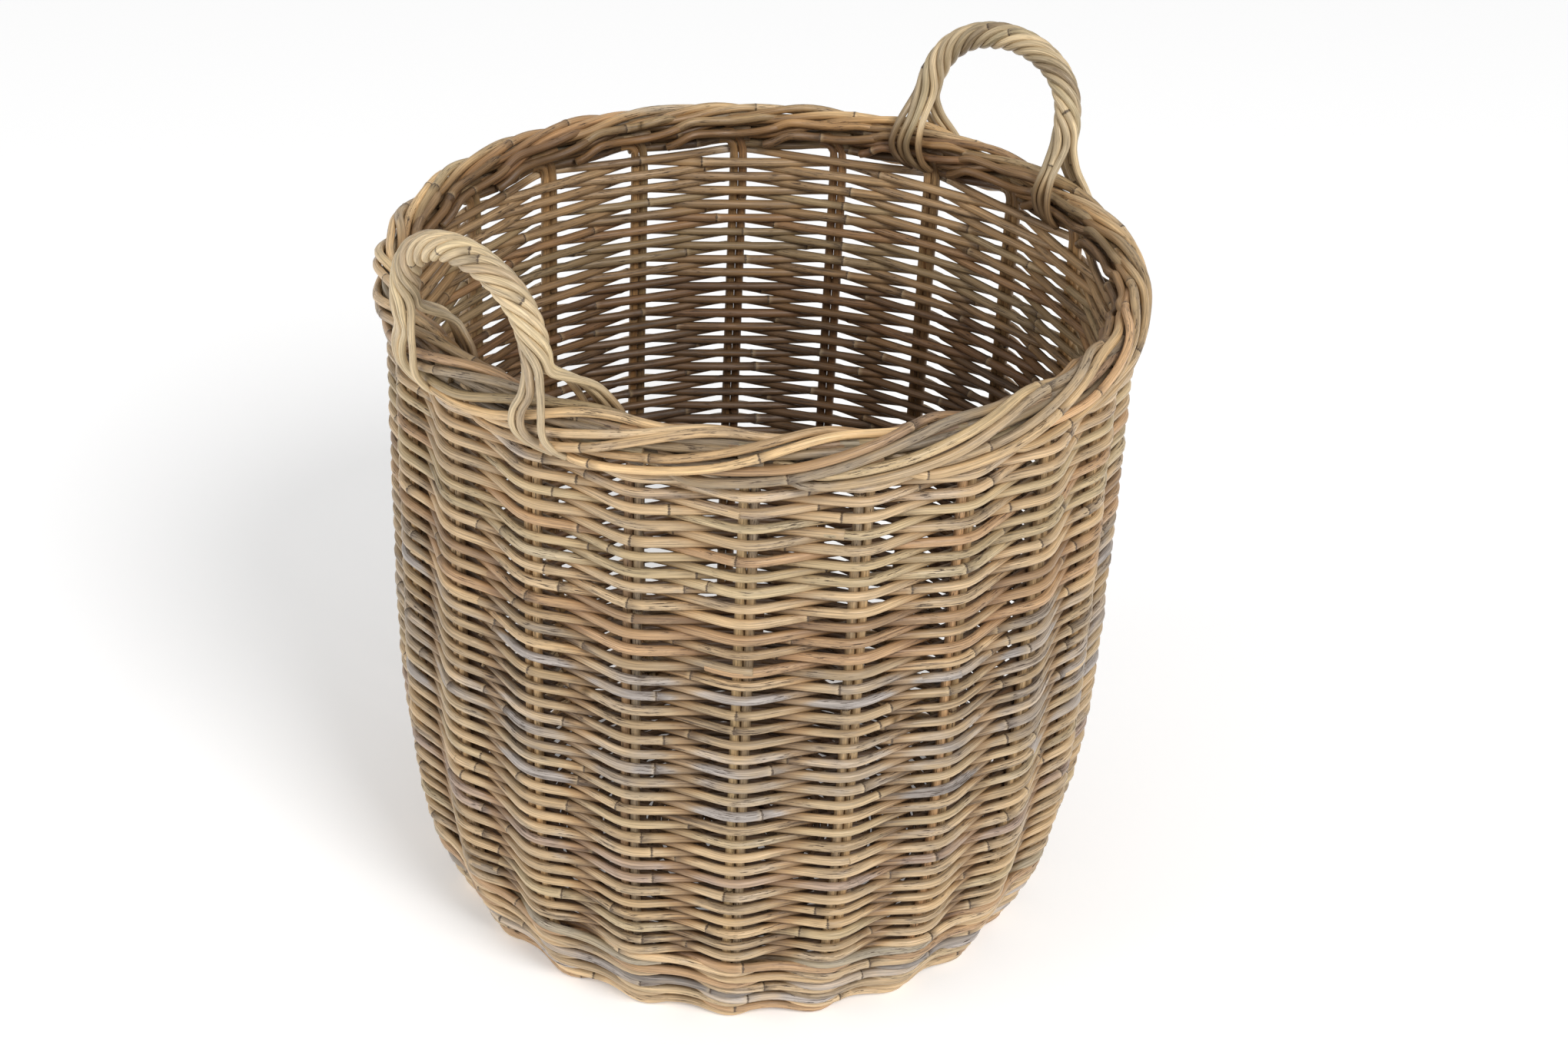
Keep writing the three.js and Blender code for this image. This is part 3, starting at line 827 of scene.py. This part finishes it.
def filler_line(stake, distance, random):
    """A cane that lies inside the roll, under the pairs."""
    passed = np.arange(-0.1, 1.15, 0.1)
    wander = wavy(random, len(passed), 0.8, 5)
    return on_border(stake + passed, distance + 3 * passed + wander, -FILLER_DEPTH - 0.3 * wander)


def build_stakes():
    for stake, node in enumerate(STAKE_NODES):
        piece = Piece(STAKE_SEED + stake)
        random = piece.random
        for hand in (-1, 1):
            line = stake_line(stake, hand, random)
            arrived = smooth((line[:, 2] - WALL_TOP) / 8)
            thickness = (STAKE_CANE * 0.98, BORDER_CANE * random.uniform(0.9, 1.1))
            radius = np.interp(arrived, (0, 1), thickness) / 2
            piece.cane(line, radius, radial(line), STAKE_SIDES, random_tone(random, 0.3, 0.22, 0.6))
        for fellow in range(HOOKS):
            line = hook_line(stake, fellow, random)
            radius = BORDER_CANE / 2 * random.uniform(0.98, 1.12)
            piece.cane(line, radius, radial(line), STAKE_SIDES, random_tone(random, 0.45))
        for distance in BORDER_FILLERS:
            line = filler_line(stake, distance, random)
            # Painted shade: the fillers get the darkest, greyest tone, so the gaps under the roll's canes
            # read dark.
            tone = random_tone(random, 0.7, 0.2, 0.0)
            piece.cane(line, BORDER_CANE / 2 * 1.1, radial(line), ROD_SIDES, tone)
        piece.build(f"{node}_canes", STAKE, [node])


# ---------------------------------------------------------------- handles
def handle_axis(handle, share):
    """The middle line of a handle's rope, from one foot to the other."""
    angle = HANDLE_FORK_ANGLE + (np.pi - 2 * HANDLE_FORK_ANGLE) * share
    rise = np.sin(angle) ** ARCH_RISE_POWER
    along = np.sign(np.cos(angle)) * np.abs(np.cos(angle)) ** ARCH_ACROSS_POWER
    out = handle["foot"] + handle["bow"] * rise**ARCH_BOW_POWER
    across = handle["half_span"] * along + handle["slide"]
    return np.stack([out, across, HANDLE_BASE + HANDLE_RISE * handle["stretch"] * rise], -1)


def even_axis(handle):
    """The rope's middle line at even distances, with the directions out of and across it."""
    dense = handle_axis(handle, np.linspace(0, 1, 2000))
    run = np.concatenate([[0], np.cumsum(np.linalg.norm(np.diff(dense, axis=0), axis=1))])
    at = np.linspace(0, run[-1], ROPE_STEPS)
    middle = np.stack([np.interp(at, run, dense[:, k]) for k in range(3)], -1)
    tangent = np.gradient(middle, axis=0)
    tangent /= np.linalg.norm(tangent, axis=1, keepdims=True)
    out = np.array([1.0, 0, 0]) - tangent * tangent[:, :1]
    out /= np.linalg.norm(out, axis=1, keepdims=True)
    return middle, out, np.cross(tangent, out)


def foot_line(handle, start, middle, rank, last_rank, outside):
    """One cane from the rope's end down over the border, spread beside the others of its group.

    Its rank is its place in the group, counted from the group's middle."""
    points = [start]
    lean = max(0, middle[0] - LEAN_FROM) if outside else 0
    swing = handle["outer" if outside else "inner"]
    stray = STRAY_SHARE if rank * (-1 if outside else 1) == -last_rank else 0
    for step, (radius, z) in enumerate(OUTER_FOOT if outside else INNER_FOOT):
        radius += lean * LEAN_EASE**step
        radius += (FOOT_STAGGER if outside else -FOOT_STAGGER) * (math.floor(rank) % 2)
        swung = (1 - stray) * swing[step] + stray * swing[-1] * step / (len(swing) - 1)
        y = middle[1] + rank * FOOT_SPACING[step] + swung
        points.append((math.sqrt(radius**2 - y**2), y, z))
    return catmull(points, 5)


def handle_cane_lines(handle):
    """The lines of a handle's canes from foot to foot, and the rope's middle line."""
    middle, out, side = even_axis(handle)
    share = np.linspace(0, 1, ROPE_STEPS)[:, None]
    tight = 1 - 2 * ROPE_STRAIGHT
    share = smooth_line(np.clip((share - ROPE_STRAIGHT) / tight, 0, 1), 12)
    ropes = []
    for index in range(HANDLE_CANES):
        twist = 2 * np.pi * (index / HANDLE_CANES - ROPE_TURNS * share)
        ropes.append(middle + ROPE_RADIUS * (np.cos(twist) * out + np.sin(twist) * side))
    lines = []
    for index, rope in enumerate(ropes):
        feet = []
        for end in (0, -1):
            outside = rope[end][0] > middle[end][0]
            peers = sorted(r[end][1] for r in ropes if (r[end][0] > middle[end][0]) == outside)
            last_rank = (len(peers) - 1) / 2
            rank = int(np.argmin(np.abs(np.array(peers) - rope[end][1]))) - last_rank
            feet.append(foot_line(handle, rope[end], middle[end], rank, last_rank, outside))
        lines.append(smooth_line(np.vstack([feet[0][::-1], rope[1:-1], feet[1]])))
    return lines, middle


def build_handles():
    for side, handle in HANDLES.items():
        lines, middle = handle_cane_lines(handle)
        turn = handle["turn"]
        flip = np.array([turn, turn, 1])
        facing = np.array([turn, 0.0, 0.0])
        for index, line in enumerate(lines):
            node = f"{side}_handle_cane_{index + 1:02d}"
            piece = Piece(handle["seed"] + index)
            above_foot = smooth((line[:, 2] - FOOT_THICK_FROM) / FOOT_THICK_OVER)
            thin = FOOT_THIN + (1 - FOOT_THIN) * above_foot
            radius = HANDLE_CANE / 2 * thin * piece.random.uniform(0.96, 1.04)
            tone = random_tone(piece.random, 0.35, 0.2, 0.6)
            piece.cane(line * flip, radius, facing, HANDLE_SIDES, tone)
            piece.build(f"{node}_wrap", HANDLE, [node])
        core = Piece(handle["core_seed"])
        core.cane(middle * flip, HANDLE_CORE_RADIUS, facing, STAKE_SIDES, (0.5, 0.4), joints=False)
        core.build(f"{side}_handle_core_cane", HANDLE, [f"{side}_handle_core"])


# ---------------------------------------------------------------- base
BASE_MIDDLE = (BASE_LOW[2] + BASE_HIGH[2]) / 2
BASE_REACH = float(flared_radius(BASE_MIDDLE)) - STAND_OFF  # to the inner rods of the wall
UP = np.array([0, 0, 1.0])


def stick_line(stick):
    """A base stick's centre line, from one side of the wall to the other."""
    per_layer = BASE_STICKS // 2
    slot = stick % per_layer - (per_layer - 1) / 2
    fan = slot * np.pi / BASE_STICKS
    lift = (-1 if stick < per_layer else 1) * BASE_LAYER
    half = [(BASE_CROSSING, slot * BASE_STICK_SPACING, BASE_MIDDLE + lift)]
    for reach in (*BASE_SPREAD, BASE_REACH - 2):
        half.append((reach * math.cos(fan), reach * math.sin(fan), BASE_MIDDLE))
    mirrored = [(-x, y, z) for x, y, z in reversed(half)]
    line = catmull(mirrored + half, 8)
    turn = 0 if stick < per_layer else math.pi / 2
    cosine, sine = math.cos(turn), math.sin(turn)
    return line @ np.array([[cosine, sine, 0], [-sine, cosine, 0], [0, 0, 1]])


def build_base():
    for stick in range(BASE_STICKS):
        node = f"base_stick_{stick + 1:02d}"
        piece = Piece(BASE_STICK_SEED + stick)
        tone = random_tone(piece.random, 0.5)
        piece.cane(stick_line(stick), BASE_STICK_RADIUS, UP, STAKE_SIDES, tone)
        piece.build(f"{node}_cane", BASE, [node])
    weave = Piece(BASE_WEAVE_SEED)
    random = weave.random
    spokes = 2 * BASE_STICKS
    rings = np.arange(BASE_FIRST_RING, BASE_REACH - 1, BASE_PITCH)
    for index, reach in enumerate(rings):
        count = np.arange(0, spokes + 0.6, 1 / 6)
        if index < BASE_TYING_ROUNDS:
            wave = np.cos(np.pi * ((count + 0.5) / (spokes / 4) + index))
        else:
            wave = np.cos(np.pi * (count + index))
        z = BASE_MIDDLE + BASE_WAVE * np.sign(wave) * np.abs(wave) ** 0.8
        angle = (count + 0.5) * np.pi / BASE_STICKS
        line = polar(angle, reach + wavy(random, len(count), 0.3, 9), z)
        tone = random_tone(random, 0.5, 0.2, 0.45)
        weave.cane(line, BASE_ROD_RADIUS, UP, ROD_SIDES, tone)
    weave.build("base_weave_rods", BASE, ["base_weave"])


# ---------------------------------------------------------------- stage, in metres
CAMERA_AZIMUTH = math.radians(-49.25)  # turned from looking along +Y
CAMERA_ELEVATION = math.radians(31.03)
CAMERA_DISTANCE = 1.964
CAMERA_ROLL = math.radians(2.71)
CAMERA_LENS = 66.5
CAMERA_SENSOR = 36
AIM_HEIGHT = 0.2645
AIM_RIGHT = 0.0209
LIGHT_AIM = (0, 0, 0.25)
FLOOR_REACH = 30
FLOOR_GLOW = 0.21
SKY = 0.52


def build_camera():
    spin = Matrix.Rotation(CAMERA_AZIMUTH, 3, "Z")
    right = spin @ Vector((1, 0, 0))
    back = spin @ Vector((0, -math.cos(CAMERA_ELEVATION), math.sin(CAMERA_ELEVATION)))
    aim = right * AIM_RIGHT + Vector((0, 0, AIM_HEIGHT))
    up = back.cross(right)
    turned_right = math.cos(CAMERA_ROLL) * right + math.sin(CAMERA_ROLL) * up
    turned_up = back.cross(turned_right)
    data = bpy.data.cameras.new("camera")
    data.lens = CAMERA_LENS
    data.sensor_width = CAMERA_SENSOR
    camera = bpy.data.objects.new("camera", data)
    axes = Matrix((turned_right, turned_up, back)).transposed().to_4x4()
    camera.matrix_world = Matrix.Translation(aim + back * CAMERA_DISTANCE) @ axes
    bpy.context.scene.collection.objects.link(camera)
    bpy.context.scene.camera = camera


def from_camera(right, nearer, height):
    """A place given by how far it is to the right of the basket and towards the camera."""
    spin = Matrix.Rotation(CAMERA_AZIMUTH, 3, "Z")
    return spin @ Vector((right, -nearer, height))


def area_light(name, place, size, power):
    """A round soft light that faces the basket."""
    data = bpy.data.lights.new(name, "AREA")
    data.shape = "DISK"
    data.size = size
    data.energy = power
    light = bpy.data.objects.new(name, data)
    light.location = place
    light.rotation_euler = (Vector(LIGHT_AIM) - place).to_track_quat("-Z", "Y").to_euler()
    bpy.context.scene.collection.objects.link(light)


def build_floor():
    mesh = bpy.data.meshes.new("floor")
    far = FLOOR_REACH
    corners = [(-far, -far, 0), (far, -far, 0), (far, far, 0), (-far, far, 0)]
    mesh.from_pydata(corners, [], [(0, 1, 2, 3)])
    s = Shader("floor_paper")
    s.surface.inputs["Base Color"].default_value = (0.95, 0.95, 0.95, 1)
    s.surface.inputs["Emission Color"].default_value = (1, 1, 1, 1)
    s.surface.inputs["Emission Strength"].default_value = FLOOR_GLOW
    s.surface.inputs["Roughness"].default_value = 0.9
    s.surface.inputs["Specular IOR Level"].default_value = 0.1
    mesh.materials.append(s.material)
    floor = bpy.data.objects.new("floor", mesh)
    bpy.context.scene.collection.objects.link(floor)


def build_lights():
    world = bpy.data.worlds.new("studio")
    world.use_nodes = True
    sky = world.node_tree.nodes["Background"]
    sky.inputs["Color"].default_value = (1, 1, 1, 1)
    sky.inputs["Strength"].default_value = SKY
    bpy.context.scene.world = world
    bpy.context.scene.view_settings.view_transform = "Standard"
    area_light("key", from_camera(2.4, 3.8, 4.6), 2.4, 216)
    area_light("fill", from_camera(-5.2, 2.4, 2.6), 3.6, 84)


build_camera()
build_floor()
build_lights()
build_wall()
build_stakes()
build_handles()
build_base()

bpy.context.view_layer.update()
